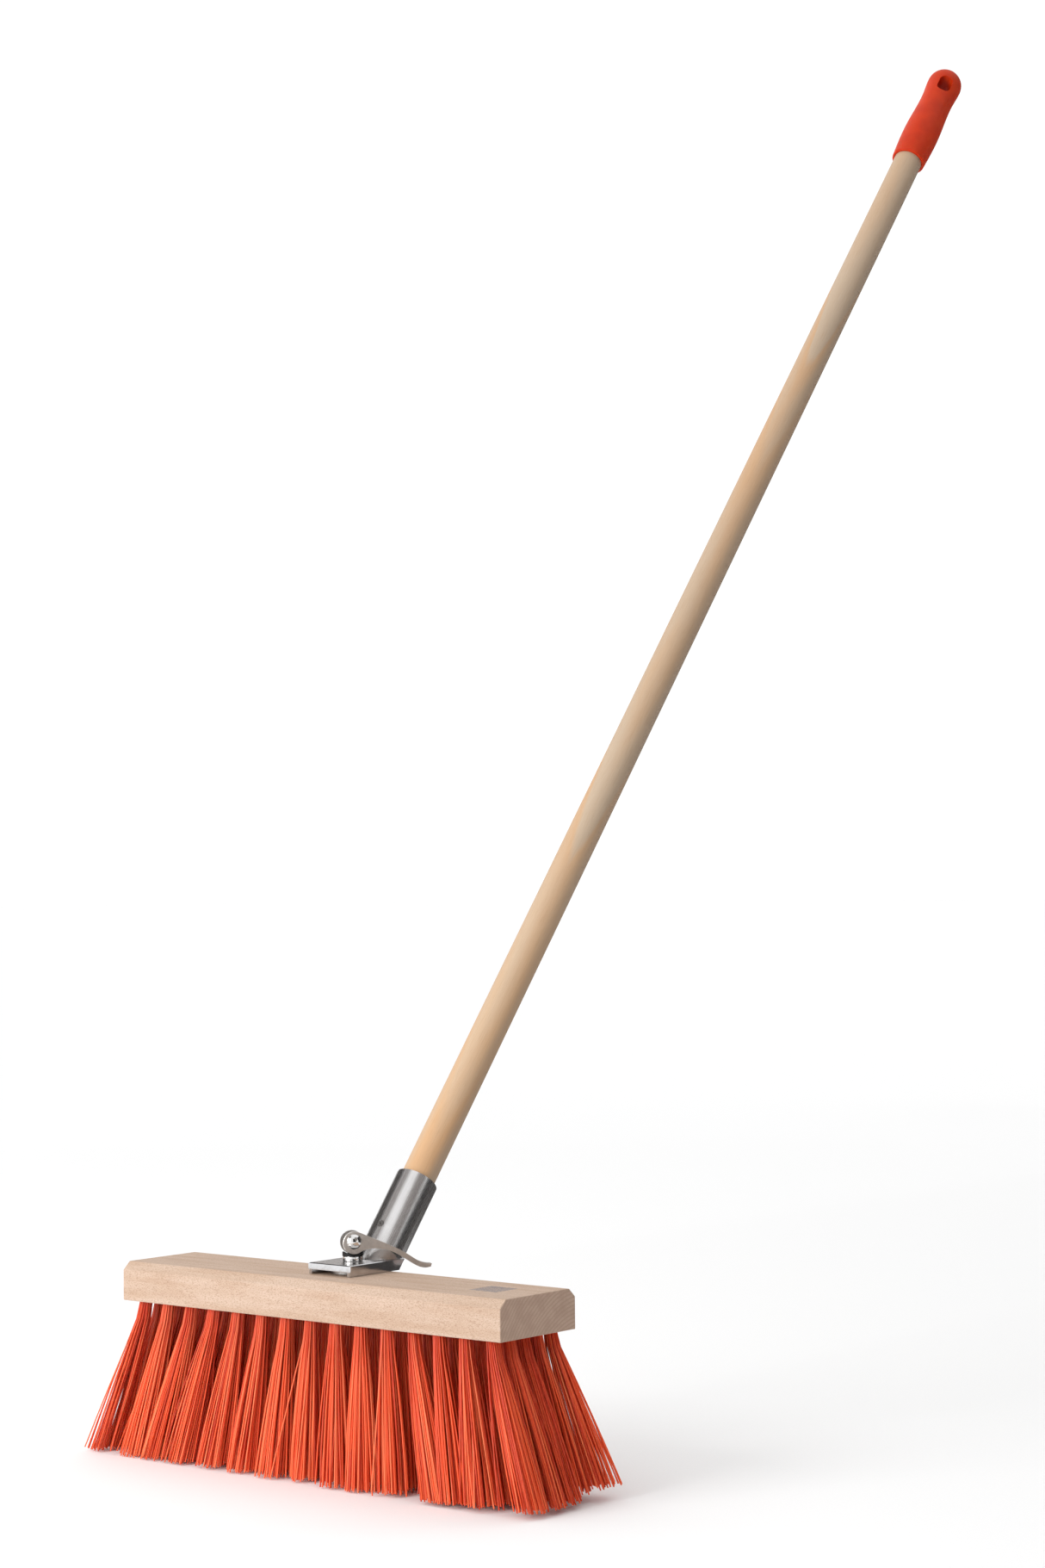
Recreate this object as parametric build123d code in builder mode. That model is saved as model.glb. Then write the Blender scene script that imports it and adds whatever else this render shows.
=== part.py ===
"""Push broom with a wooden block, fanned tufts, a cam-clamped steel socket and a long handle.

Millimetres and degrees. +Z is up, X runs along the block and the handle leans towards +Y.
The origin is the centre of the plane that the bristle tips sweep.
"""
from build123d import *
from math import atan2, cos, radians, sin, sqrt, tan
import os

# Brush block: a plain bar with its two long top edges chamfered.
BLOCK_LENGTH = 400.0
BLOCK_WIDTH = 88.0
BLOCK_HEIGHT = 31.0
BLOCK_CHAMFER_ACROSS = 7.0
BLOCK_CHAMFER_DOWN = 6.4

# Tufts: a grid of blind holes in the block, each with a folded tuft held by a flat anchor.
TUFT_COLUMNS = 15
TUFT_ROWS = 5
END_TUFT_INSET = 18.0       # block end to the centre of the last tuft
EDGE_TUFT_INSET = 11.5      # block edge to the centre of the outer row
TUFT_FREE_HEIGHT = 124.0    # block underside to the sweeping plane
TUFT_HOLE_RADIUS = 4.8
TUFT_HOLE_DEPTH = 18.0
TUFT_TIP_RADIUS = 6.5
END_SPLAY = 19.0            # lean of the end tufts along the block
EDGE_SPLAY = 5.0            # lean of the outer rows across the block
TUFT_CLEARANCE = 0.1        # tuft to hole, and anchor to its slots
ANCHOR_BITE = 0.8           # how far each anchor end cuts into the wood
ANCHOR_WIDTH = 2.0
ANCHOR_THICKNESS = 0.5
FOLD_THICKNESS = 1.5        # filament folded over each anchor

# Handle: a straight pole, leaning back from the block.
HANDLE_LEAN = 51.8          # pole axis above the horizontal
POLE_RADIUS = 14.0
POLE_LENGTH = 1380.0
POLE_START = 13.0           # pole end above the block's top plane, along the axis
POLE_EDGE = 1.0

# Handle socket: foot channel and rolled tube in one piece of sheet.
TUBE_WALL = 3.0
TUBE_TOP = 83.5             # tube end, along the pole axis
POLE_FIT = 0.3              # tube bore to pole
SEAM_ANGLE = -97.0          # butt seam round the tube; -90 faces forward
SEAM_WIDTH = 0.5
SEAM_START = 14.0           # lower end of the seam, along the pole axis
FLANGE_ROOM = 1.5           # tube to the flanges beside it
FOOT_FRONT_REACH = 27.1     # foot plate in front of the swivel axis
FOOT_REAR_REACH = 5.6       # flanges' lower edge behind the foot of the pole axis
FOOT_TOP = 9.0              # upper face above the block
FOOT_SHEET = 3.0
FLANGE_THICKNESS = 2.7
LIP_DEPTH = 5.2
LIP_THICKNESS = 2.0
LIP_OVERHANG = 1.0          # lip beyond the flanges, each side
FLARE_SPREAD = 1.0          # tube's foot, where it runs out into the foot plate
FLARE_HEIGHT = 5.0
FLARE_SINK = 0.1            # upper end of the flare, inside the tube's surface
FOOT_EDGE = 0.6
SWIVEL_GAP = 0.2            # under the flanges and the tube

# Socket screw: through the tube's front wall into the pole.
SOCKET_SCREW_ALONG = 31.8
SOCKET_SCREW_ANGLE = -84.5
SOCKET_SCREW_HEAD_RADIUS = 2.8
SOCKET_SCREW_HEAD_HEIGHT = 1.8
SOCKET_SCREW_RADIUS = 1.6
SOCKET_SCREW_LENGTH = 14.0
SCREW_CLEARANCE = 0.15
DRIVE_RADIUS = 1.1
DRIVE_DEPTH = 0.9

# Swivel plate: round plate on the block that the foot turns over, with its screws and clamp nut.
SWIVEL_Y = 14.5             # clamp and swivel axis
SWIVEL_PLATE_ROOM = 0.8     # swivel plate to the flanges beside it
SWIVEL_PLATE_THICKNESS = 3.0
PLATE_SCREW_COUNT = 3
PLATE_SCREW_CIRCLE = 12.6
PLATE_SCREW_START = -60.0
PLATE_SCREW_RADIUS = 1.75
PLATE_SCREW_LENGTH = 12.0
PLATE_SCREW_HEAD_RADIUS = 3.4
PLATE_SCREW_HEAD_HEIGHT = 2.2
NUT_FLATS = 13.0
NUT_HEIGHT = 6.5
NUT_CLEARANCE = 0.15
NUT_DROP = 0.2              # nut below the swivel plate

# Cam clamp: stud, collar, cupped washer, and the lever on its pin.
STUD_RADIUS = 4.0
STUD_FIT = 0.05             # stud thread in the nut, stud in its rings
STUD_HOLE_GAP = 0.35        # stud through the plates
STUD_END_RELIEF = 1.5       # stud below the nut
STUD_END_ROOM = 1.0         # recess below the stud
COLLAR_RADIUS = 8.0
COLLAR_HEIGHT = 4.0
COLLAR_GAP = 0.1            # collar over the foot plate
COLLAR_EDGE = 0.6
COLLAR_TO_TUBE = 0.87       # collar to the flare of the tube behind it
WASHER_RADIUS = 8.3
WASHER_WALL = 0.9           # washer thickness under the cam
WASHER_RISE = 2.1           # height of the washer's horns over that
CAM_RADIUS = 9.1
CAM_THROW = 1.0             # pin centre over the cam centre
CAM_GAP = 0.3               # cam over the washer's seat
CAM_SEAT_EXTRA = 1.5        # washer's seat radius beyond the cam's
CAM_WIDTH = 12.0
CAM_EDGE = 0.4
CAM_SLOT = 6.6
EYE_THICKNESS = 6.0
EYE_RADIUS = 5.8
EYE_FRONT_ROOM = 0.7        # slot beyond the eye, towards the arm
PIN_RADIUS = 2.5
PIN_FIT = 0.05
PIN_HEAD_RADIUS = 6.0
PIN_HEAD_HEIGHT = 3.4
CAP_SOCKET = 2.0
ARM_INNER_OFFSET = 2.0      # arm's far face, behind the stud's centre plane
ARM_TO_TUBE = 1.35          # arm's far face to the tube that it passes
ARM_PASS_HEIGHT = 18.0      # where it passes, above the block

# End grip: moulded cap over the pole's end, with a hanging hole.
GRIP_COVER = 88.0           # rim below the pole's end
GRIP_BODY_RISE = 47.0       # fullest part of the grip above its rim
GRIP_WAIST_RISE = 8.0       # waist above the pole's end
GRIP_BULB_RISE = 26.0
GRIP_END_RISE = 44.0
GRIP_FIT = 0.1              # grip bore to pole
GRIP_RIM_WALL = 2.5         # walls over the bore
GRIP_BODY_WALL = 3.8
GRIP_WAIST_WALL = 2.3
GRIP_BULB_WALL = 3.3
GRIP_RIM_ROUND = 1.2
HANG_HOLE_RISE = 15.0
HANG_HOLE_LENGTH = 19.0
HANG_HOLE_WIDTH = 13.5
HANG_HOLE_CORNER = 5.5
HANG_HOLE_ANGLE = -46.0

# Levels and places that follow from the dimensions above.
BLOCK_TOP = TUFT_FREE_HEIGHT + BLOCK_HEIGHT
TUBE_BORE = POLE_RADIUS + POLE_FIT
TUBE_RADIUS = TUBE_BORE + TUBE_WALL
HALF_FOOT = TUBE_RADIUS + FLANGE_ROOM + FLANGE_THICKNESS
SWIVEL_PLATE_RADIUS = HALF_FOOT - FLANGE_THICKNESS - SWIVEL_PLATE_ROOM
FOOT_UNDERSIDE = FOOT_TOP - FOOT_SHEET
COLLAR_BASE = FOOT_TOP + COLLAR_GAP
WASHER_BASE = COLLAR_BASE + COLLAR_HEIGHT
CAM_CENTRE = WASHER_BASE + WASHER_WALL + CAM_GAP + CAM_RADIUS
PIN_HEIGHT = CAM_CENTRE + CAM_THROW
STUD_END = -(NUT_DROP + NUT_HEIGHT + STUD_END_RELIEF)
POLE_END = POLE_START + POLE_LENGTH
GRIP_START = POLE_END - GRIP_COVER
GRIP_END = POLE_END + GRIP_END_RISE
GRIP_BORE = POLE_RADIUS + GRIP_FIT
GRIP_BULB_RADIUS = GRIP_BORE + GRIP_BULB_WALL
GRIP_BULB_ALONG = POLE_END + GRIP_BULB_RISE

AXIS_Y, AXIS_Z = cos(radians(HANDLE_LEAN)), sin(radians(HANDLE_LEAN))
SLOPE = AXIS_Y / AXIS_Z
TUBE_DEPTH = TUBE_RADIUS / AXIS_Z       # half of the tube's level section, front to rear
HANDLE_FOOT_Y = SWIVEL_Y + COLLAR_RADIUS + COLLAR_TO_TUBE + FLARE_SPREAD + TUBE_DEPTH - FOOT_TOP * SLOPE
FOOT_FRONT_Y = SWIVEL_Y - FOOT_FRONT_REACH
FOOT_REAR_Y = HANDLE_FOOT_Y + FOOT_REAR_REACH

# The arm's direction is the line from the stud that clears the tube's level section on one side.
ARM_ROOM = ARM_INNER_OFFSET + ARM_TO_TUBE
TUBE_DISTANCE = HANDLE_FOOT_Y + ARM_PASS_HEIGHT * SLOPE - SWIVEL_Y
ARM_SWING = atan2(TUBE_RADIUS + ARM_ROOM, sqrt(TUBE_DISTANCE ** 2 - (TUBE_DEPTH + ARM_ROOM) ** 2))
HANDLE_PLANE = Plane(origin=(0, HANDLE_FOOT_Y, BLOCK_TOP), x_dir=(1, 0, 0), z_dir=(0, AXIS_Y, AXIS_Z))
SWIVEL_PLANE = Plane(origin=(0, SWIVEL_Y, BLOCK_TOP))
ARM_DIRECTION = (sin(ARM_SWING), cos(ARM_SWING), 0)
PIN_DIRECTION = (ARM_DIRECTION[1], -ARM_DIRECTION[0], 0)
LEVER_PLANE = Plane(origin=(0, SWIVEL_Y, BLOCK_TOP), x_dir=ARM_DIRECTION, z_dir=PIN_DIRECTION)
UPWARD = (Align.CENTER, Align.CENTER, Align.MIN)
DOWNWARD = (Align.CENTER, Align.CENTER, Align.MAX)


def around_handle(along, angle, radius):
    """A plane on the handle, facing out at an angle round its axis."""
    turn = radians(angle)
    outward = HANDLE_PLANE.x_dir * cos(turn) + HANDLE_PLANE.y_dir * sin(turn)
    centre = HANDLE_PLANE.origin + HANDLE_PLANE.z_dir * along + outward * radius
    return Plane(origin=centre, x_dir=HANDLE_PLANE.z_dir, z_dir=outward)


def tuft_plane(column, row):
    """The plane of one tuft at the block's underside, +Z up its hole, leaning with its place."""
    half_length = BLOCK_LENGTH / 2 - END_TUFT_INSET
    half_width = BLOCK_WIDTH / 2 - EDGE_TUFT_INSET
    across = 2 * column / (TUFT_COLUMNS - 1) - 1
    back = 2 * row / (TUFT_ROWS - 1) - 1
    up = Vector(-tan(radians(END_SPLAY)) * across, -tan(radians(EDGE_SPLAY)) * back, 1).normalized()
    root = (half_length * across, half_width * back, TUFT_FREE_HEIGHT)
    return Plane(origin=root, x_dir=Vector(0, 1, 0).cross(up), z_dir=up)


def finish(piece, name):
    """Label one sub-part and write it."""
    piece.part.label = name
    export_step(piece.part, f"parts/{name}.step")


os.makedirs("parts", exist_ok=True)
TUFT_PLANES = [[tuft_plane(column, row) for column in range(TUFT_COLUMNS)] for row in range(TUFT_ROWS)]
ALL_TUFT_PLANES = [plane for row in TUFT_PLANES for plane in row]
ANCHOR_DEPTH = TUFT_HOLE_DEPTH - FOLD_THICKNESS
ANCHOR_PLANES = [plane.offset(ANCHOR_DEPTH) for plane in ALL_TUFT_PLANES]
ANCHOR_LENGTH = 2 * (TUFT_HOLE_RADIUS + ANCHOR_BITE)

# ---------------------------------------------------------------- brush block
with BuildPart() as brush_block:
    with BuildSketch(Plane.YZ):
        with BuildLine():
            Polyline(
                (-BLOCK_WIDTH / 2, TUFT_FREE_HEIGHT),
                (BLOCK_WIDTH / 2, TUFT_FREE_HEIGHT),
                (BLOCK_WIDTH / 2, BLOCK_TOP - BLOCK_CHAMFER_DOWN),
                (BLOCK_WIDTH / 2 - BLOCK_CHAMFER_ACROSS, BLOCK_TOP),
                (-BLOCK_WIDTH / 2 + BLOCK_CHAMFER_ACROSS, BLOCK_TOP),
                (-BLOCK_WIDTH / 2, BLOCK_TOP - BLOCK_CHAMFER_DOWN),
                close=True,
            )
        make_face()
    extrude(amount=BLOCK_LENGTH / 2, both=True)
    with Locations(*ALL_TUFT_PLANES):
        Cylinder(TUFT_HOLE_RADIUS, TUFT_HOLE_DEPTH, align=UPWARD, mode=Mode.SUBTRACT)
        Cylinder(TUFT_HOLE_RADIUS, TUFT_HOLE_RADIUS, align=DOWNWARD, mode=Mode.SUBTRACT)
    with Locations(*ANCHOR_PLANES):
        Box(ANCHOR_LENGTH + 2 * TUFT_CLEARANCE, ANCHOR_THICKNESS + 2 * TUFT_CLEARANCE,
            ANCHOR_WIDTH + 2 * TUFT_CLEARANCE, align=DOWNWARD, mode=Mode.SUBTRACT)
    with BuildSketch(SWIVEL_PLANE):
        RegularPolygon(NUT_FLATS / 2 + NUT_CLEARANCE, 6, major_radius=False)
    extrude(amount=STUD_END - STUD_END_ROOM, mode=Mode.SUBTRACT)
    with Locations(SWIVEL_PLANE):
        with PolarLocations(PLATE_SCREW_CIRCLE, PLATE_SCREW_COUNT, start_angle=PLATE_SCREW_START):
            Cylinder(PLATE_SCREW_RADIUS + SCREW_CLEARANCE, PLATE_SCREW_LENGTH, align=DOWNWARD,
                     mode=Mode.SUBTRACT)
finish(brush_block, "brush_block")

# ---------------------------------------------------------------- tufts, one node to a row
TUFT_ROOT_RADIUS = TUFT_HOLE_RADIUS - TUFT_CLEARANCE
TUFT_REACH = TUFT_FREE_HEIGHT / cos(radians(END_SPLAY)) + 2 * TUFT_TIP_RADIUS
TUFT_SPREAD = (TUFT_TIP_RADIUS - TUFT_ROOT_RADIUS) / TUFT_FREE_HEIGHT
for row_index, row_planes in enumerate(TUFT_PLANES, start=1):
    with BuildPart() as tuft_row:
        with Locations(*row_planes):
            Cylinder(TUFT_ROOT_RADIUS, TUFT_HOLE_DEPTH - TUFT_CLEARANCE, align=UPWARD)
            Cone(TUFT_ROOT_RADIUS + TUFT_SPREAD * TUFT_REACH, TUFT_ROOT_RADIUS, TUFT_REACH, align=DOWNWARD)
        with Locations(*[plane.offset(ANCHOR_DEPTH) for plane in row_planes]):
            Box(ANCHOR_LENGTH, ANCHOR_THICKNESS + 2 * TUFT_CLEARANCE,
                ANCHOR_WIDTH + 2 * TUFT_CLEARANCE, align=DOWNWARD, mode=Mode.SUBTRACT)
        Box(2 * BLOCK_LENGTH, 4 * BLOCK_WIDTH, TUFT_FREE_HEIGHT, align=DOWNWARD, mode=Mode.SUBTRACT)
    finish(tuft_row, f"tuft_row_{row_index}")

# ---------------------------------------------------------------- tuft anchors
with BuildPart() as tuft_anchors:
    with Locations(*[plane.offset(-TUFT_CLEARANCE) for plane in ANCHOR_PLANES]):
        Box(ANCHOR_LENGTH, ANCHOR_THICKNESS, ANCHOR_WIDTH, align=DOWNWARD)
finish(tuft_anchors, "tuft_anchors")

# ---------------------------------------------------------------- swivel plate, screws and nut
with BuildPart() as swivel_plate:
    with Locations(SWIVEL_PLANE):
        Cylinder(SWIVEL_PLATE_RADIUS, SWIVEL_PLATE_THICKNESS, align=UPWARD)
        Cylinder(STUD_RADIUS + STUD_HOLE_GAP, SWIVEL_PLATE_THICKNESS, align=UPWARD, mode=Mode.SUBTRACT)
        with PolarLocations(PLATE_SCREW_CIRCLE, PLATE_SCREW_COUNT, start_angle=PLATE_SCREW_START):
            Cylinder(PLATE_SCREW_RADIUS + SCREW_CLEARANCE, SWIVEL_PLATE_THICKNESS, align=UPWARD,
                     mode=Mode.SUBTRACT)
finish(swivel_plate, "swivel_plate")

with BuildPart() as swivel_plate_screws:
    with Locations(SWIVEL_PLANE.offset(SWIVEL_PLATE_THICKNESS)):
        with PolarLocations(PLATE_SCREW_CIRCLE, PLATE_SCREW_COUNT, start_angle=PLATE_SCREW_START):
            Cylinder(PLATE_SCREW_HEAD_RADIUS, PLATE_SCREW_HEAD_HEIGHT, align=UPWARD)
            Cylinder(PLATE_SCREW_RADIUS, PLATE_SCREW_LENGTH, align=DOWNWARD)
    head_rims = swivel_plate_screws.edges().filter_by(GeomType.CIRCLE).group_by(Axis.Z)[-1]
    fillet(head_rims, PLATE_SCREW_HEAD_HEIGHT / 2)
    with Locations(SWIVEL_PLANE.offset(SWIVEL_PLATE_THICKNESS + PLATE_SCREW_HEAD_HEIGHT)):
        with PolarLocations(PLATE_SCREW_CIRCLE, PLATE_SCREW_COUNT, start_angle=PLATE_SCREW_START):
            Cylinder(DRIVE_RADIUS, DRIVE_DEPTH, align=DOWNWARD, mode=Mode.SUBTRACT)
finish(swivel_plate_screws, "swivel_plate_screws")

with BuildPart() as clamp_nut:
    with BuildSketch(SWIVEL_PLANE.offset(-NUT_DROP)):
        RegularPolygon(NUT_FLATS / 2, 6, major_radius=False)
        Circle(STUD_RADIUS + STUD_FIT, mode=Mode.SUBTRACT)
    extrude(amount=-NUT_HEIGHT)
finish(clamp_nut, "clamp_nut")

# ---------------------------------------------------------------- handle socket
FOOT_REAR_RUN = (FOOT_TOP - SWIVEL_GAP) * SLOPE
FOOT_HOLLOW = 2 * (HALF_FOOT - FLANGE_THICKNESS)
HOLLOW_REAR_Y = SWIVEL_Y + SWIVEL_PLATE_RADIUS + STUD_END_RELIEF
with BuildPart() as foot_flare:
    for height, spread in ((FOOT_TOP, FLARE_SPREAD), (FOOT_TOP + FLARE_HEIGHT, -FLARE_SINK)):
        with BuildSketch(Plane.XY.offset(BLOCK_TOP + height)):
            with Locations((0, HANDLE_FOOT_Y + height * SLOPE)):
                Ellipse(TUBE_RADIUS + spread, TUBE_DEPTH + spread)
    loft()
    with Locations((0, FOOT_REAR_Y + FOOT_REAR_RUN, BLOCK_TOP)):
        Box(BLOCK_WIDTH, BLOCK_WIDTH, BLOCK_WIDTH, align=(Align.CENTER, Align.MIN, Align.CENTER),
            mode=Mode.SUBTRACT)

with BuildPart() as handle_socket:
    with BuildSketch(Plane.YZ):
        with BuildLine():
            Polyline(
                (FOOT_FRONT_Y, BLOCK_TOP + SWIVEL_GAP),
                (FOOT_REAR_Y, BLOCK_TOP + SWIVEL_GAP),
                (FOOT_REAR_Y + FOOT_REAR_RUN, BLOCK_TOP + FOOT_TOP),
                (FOOT_FRONT_Y, BLOCK_TOP + FOOT_TOP),
                close=True,
            )
        make_face()
    extrude(amount=HALF_FOOT, both=True)
    top_face = handle_socket.faces().sort_by(Axis.Z)[-1]
    chamfer(top_face.edges(), FOOT_EDGE)
    with Locations((0, FOOT_FRONT_Y, BLOCK_TOP)):
        Box(FOOT_HOLLOW, 2 * BLOCK_WIDTH, FOOT_UNDERSIDE, align=UPWARD, mode=Mode.SUBTRACT)
    with BuildSketch(HANDLE_PLANE.offset(-TUBE_RADIUS)):
        Circle(TUBE_RADIUS)
    extrude(amount=TUBE_RADIUS + TUBE_TOP)
    with Locations((0, HOLLOW_REAR_Y, BLOCK_TOP)):
        Box(FOOT_HOLLOW, BLOCK_WIDTH, FOOT_UNDERSIDE,
            align=(Align.CENTER, Align.MAX, Align.MIN), mode=Mode.SUBTRACT)
    with Locations((0, FOOT_FRONT_Y, BLOCK_TOP + FOOT_TOP - FOOT_EDGE)):
        Box(2 * (HALF_FOOT + LIP_OVERHANG), LIP_THICKNESS, LIP_DEPTH - FOOT_EDGE,
            align=(Align.CENTER, Align.MIN, Align.MAX))
    with Locations((0, HANDLE_FOOT_Y, BLOCK_TOP + SWIVEL_GAP)):
        Box(2 * BLOCK_WIDTH, 2 * BLOCK_WIDTH, BLOCK_WIDTH, align=DOWNWARD, mode=Mode.SUBTRACT)
    add(foot_flare.part)
    with BuildSketch(HANDLE_PLANE.offset(-TUBE_RADIUS)):
        Circle(TUBE_BORE)
    extrude(amount=2 * TUBE_RADIUS + TUBE_TOP, mode=Mode.SUBTRACT)
    with Locations(SWIVEL_PLANE):
        Cylinder(STUD_RADIUS + STUD_HOLE_GAP, FOOT_TOP, align=UPWARD, mode=Mode.SUBTRACT)
    with Locations(around_handle(TUBE_TOP, SEAM_ANGLE, TUBE_RADIUS)):
        Box(2 * (TUBE_TOP - SEAM_START), SEAM_WIDTH, 3 * TUBE_WALL, mode=Mode.SUBTRACT)
    with Locations(around_handle(SOCKET_SCREW_ALONG, SOCKET_SCREW_ANGLE, TUBE_RADIUS)):
        Cylinder(SOCKET_SCREW_HEAD_RADIUS + SCREW_CLEARANCE, 2 * TUBE_WALL + 1, mode=Mode.SUBTRACT)
finish(handle_socket, "handle_socket")

# ---------------------------------------------------------------- socket screw
SCREW_SEAT = around_handle(SOCKET_SCREW_ALONG, SOCKET_SCREW_ANGLE, TUBE_RADIUS)
with BuildPart() as socket_screw:
    with Locations(SCREW_SEAT):
        Cylinder(SOCKET_SCREW_HEAD_RADIUS, SOCKET_SCREW_HEAD_HEIGHT, align=DOWNWARD)
        Cylinder(SOCKET_SCREW_RADIUS, SOCKET_SCREW_LENGTH, align=DOWNWARD)
        Cylinder(DRIVE_RADIUS, DRIVE_DEPTH, align=DOWNWARD, mode=Mode.SUBTRACT)
finish(socket_screw, "socket_screw")

# ---------------------------------------------------------------- handle pole
with BuildPart() as handle_pole:
    with BuildSketch(HANDLE_PLANE.offset(POLE_START)):
        Circle(POLE_RADIUS)
    extrude(amount=POLE_LENGTH)
    chamfer(handle_pole.edges().filter_by(GeomType.CIRCLE), POLE_EDGE)
    with Locations(SCREW_SEAT):
        Cylinder(SOCKET_SCREW_RADIUS + SCREW_CLEARANCE, SOCKET_SCREW_LENGTH + SCREW_CLEARANCE,
                 align=DOWNWARD, mode=Mode.SUBTRACT)
finish(handle_pole, "handle_pole")

# ---------------------------------------------------------------- end grip
GRIP_AXIS = Plane(origin=HANDLE_PLANE.origin, x_dir=HANDLE_PLANE.x_dir, z_dir=-HANDLE_PLANE.y_dir)
with BuildPart() as end_grip:
    with BuildSketch(GRIP_AXIS):
        with BuildLine():
            Line((0, GRIP_START), (GRIP_BORE + GRIP_RIM_WALL, GRIP_START))
            Spline(
                (GRIP_BORE + GRIP_RIM_WALL, GRIP_START),
                (GRIP_BORE + GRIP_BODY_WALL, GRIP_START + GRIP_BODY_RISE),
                (GRIP_BORE + GRIP_WAIST_WALL, POLE_END + GRIP_WAIST_RISE),
                (GRIP_BULB_RADIUS, GRIP_BULB_ALONG),
                tangents=[(0.06, 1), (0, 1)],
            )
            Spline(
                (GRIP_BULB_RADIUS, GRIP_BULB_ALONG),
                (GRIP_BULB_RADIUS * sqrt(0.5), GRIP_BULB_ALONG + (GRIP_END - GRIP_BULB_ALONG) * sqrt(0.5)),
                (0, GRIP_END),
                tangents=[(0, 1), (-1, 0)],
            )
            Line((0, GRIP_END), (0, GRIP_START))
        make_face()
    revolve(axis=Axis(HANDLE_PLANE.origin, HANDLE_PLANE.z_dir))
    rim = end_grip.edges().filter_by(GeomType.CIRCLE).sort_by(Axis(HANDLE_PLANE.origin, HANDLE_PLANE.z_dir))[0]
    fillet(rim, GRIP_RIM_ROUND)
    with BuildSketch(HANDLE_PLANE.offset(GRIP_START)):
        Circle(GRIP_BORE)
    extrude(amount=POLE_END + GRIP_FIT - GRIP_START, mode=Mode.SUBTRACT)
    with BuildSketch(around_handle(POLE_END + HANG_HOLE_RISE, HANG_HOLE_ANGLE, 0)):
        RectangleRounded(HANG_HOLE_LENGTH, HANG_HOLE_WIDTH, HANG_HOLE_CORNER)
    extrude(amount=2 * GRIP_BULB_RADIUS, both=True, mode=Mode.SUBTRACT)
finish(end_grip, "end_grip")

# ---------------------------------------------------------------- clamp stud
with BuildPart() as clamp_stud:
    with Locations(SWIVEL_PLANE.offset(STUD_END)):
        Cylinder(STUD_RADIUS, COLLAR_BASE + COLLAR_HEIGHT / 2 - STUD_END, align=UPWARD)
    chamfer(clamp_stud.edges().filter_by(GeomType.CIRCLE).sort_by(Axis.Z)[0], STUD_RADIUS / 8)
    with BuildSketch(LEVER_PLANE):
        with Locations((0, PIN_HEIGHT)):
            Circle(EYE_RADIUS)
        with Locations((0, COLLAR_BASE)):
            Rectangle(2 * sqrt(STUD_RADIUS ** 2 - (EYE_THICKNESS / 2) ** 2), PIN_HEIGHT - COLLAR_BASE,
                      align=(Align.CENTER, Align.MIN))
        with Locations((0, PIN_HEIGHT)):
            Circle(PIN_RADIUS + PIN_FIT, mode=Mode.SUBTRACT)
    extrude(amount=EYE_THICKNESS / 2, both=True)
finish(clamp_stud, "clamp_stud")

# ---------------------------------------------------------------- spacer collar and cam washer
with BuildPart() as spacer_collar:
    with BuildSketch(SWIVEL_PLANE.offset(COLLAR_BASE)):
        Circle(COLLAR_RADIUS)
        Circle(STUD_RADIUS + STUD_FIT, mode=Mode.SUBTRACT)
    extrude(amount=COLLAR_HEIGHT)
    outer_rims = spacer_collar.edges().filter_by(GeomType.CIRCLE).sort_by(SortBy.RADIUS)[-2:]
    fillet(outer_rims, COLLAR_EDGE)
finish(spacer_collar, "spacer_collar")

CAM_SEAT_RADIUS = CAM_RADIUS + CAM_SEAT_EXTRA
with BuildPart() as cam_washer:
    with BuildSketch(SWIVEL_PLANE.offset(WASHER_BASE)):
        Circle(WASHER_RADIUS)
        Circle(STUD_RADIUS + STUD_FIT, mode=Mode.SUBTRACT)
    extrude(amount=WASHER_WALL + WASHER_RISE)
    with BuildSketch(LEVER_PLANE):
        with Locations((0, WASHER_BASE + WASHER_WALL + CAM_SEAT_RADIUS)):
            Circle(CAM_SEAT_RADIUS)
    extrude(amount=2 * WASHER_RADIUS, both=True, mode=Mode.SUBTRACT)
finish(cam_washer, "cam_washer")

# ---------------------------------------------------------------- cam lever
with BuildPart() as cam_lever:
    with BuildSketch(LEVER_PLANE.offset(-CAM_WIDTH / 2)):
        with Locations((0, CAM_CENTRE)):
            Circle(CAM_RADIUS)
    extrude(amount=CAM_WIDTH)
    chamfer(cam_lever.edges().filter_by(GeomType.CIRCLE), CAM_EDGE)
    with BuildSketch(LEVER_PLANE.offset(-ARM_INNER_OFFSET)):
        with BuildLine():
            Spline((3.5, CAM_CENTRE + 8.3), (12, 28.0), (27, 21.5), (42.3, 13.6), (54.5, 6.4), (62.4, 5.0))
            Line((62.4, 5.0), (61.6, 2.6))
            Spline((61.6, 2.6), (55.0, 2.2), (43.9, 7.8), (28.5, 16.4), (14.5, 18.6), (6.5, CAM_CENTRE - 6.3))
            Line((6.5, CAM_CENTRE - 6.3), (3.5, CAM_CENTRE + 8.3))
        make_face()
    extrude(amount=ARM_INNER_OFFSET + CAM_WIDTH / 2)
    with BuildSketch(LEVER_PLANE):
        with Locations((EYE_RADIUS + EYE_FRONT_ROOM, PIN_HEIGHT)):
            Rectangle(4 * CAM_RADIUS, 4 * CAM_RADIUS, align=(Align.MAX, Align.CENTER))
    extrude(amount=CAM_SLOT / 2, both=True, mode=Mode.SUBTRACT)
    with BuildSketch(LEVER_PLANE):
        with Locations((0, PIN_HEIGHT)):
            Circle(PIN_RADIUS + PIN_FIT)
    extrude(amount=CAM_WIDTH, both=True, mode=Mode.SUBTRACT)
finish(cam_lever, "cam_lever")

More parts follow.
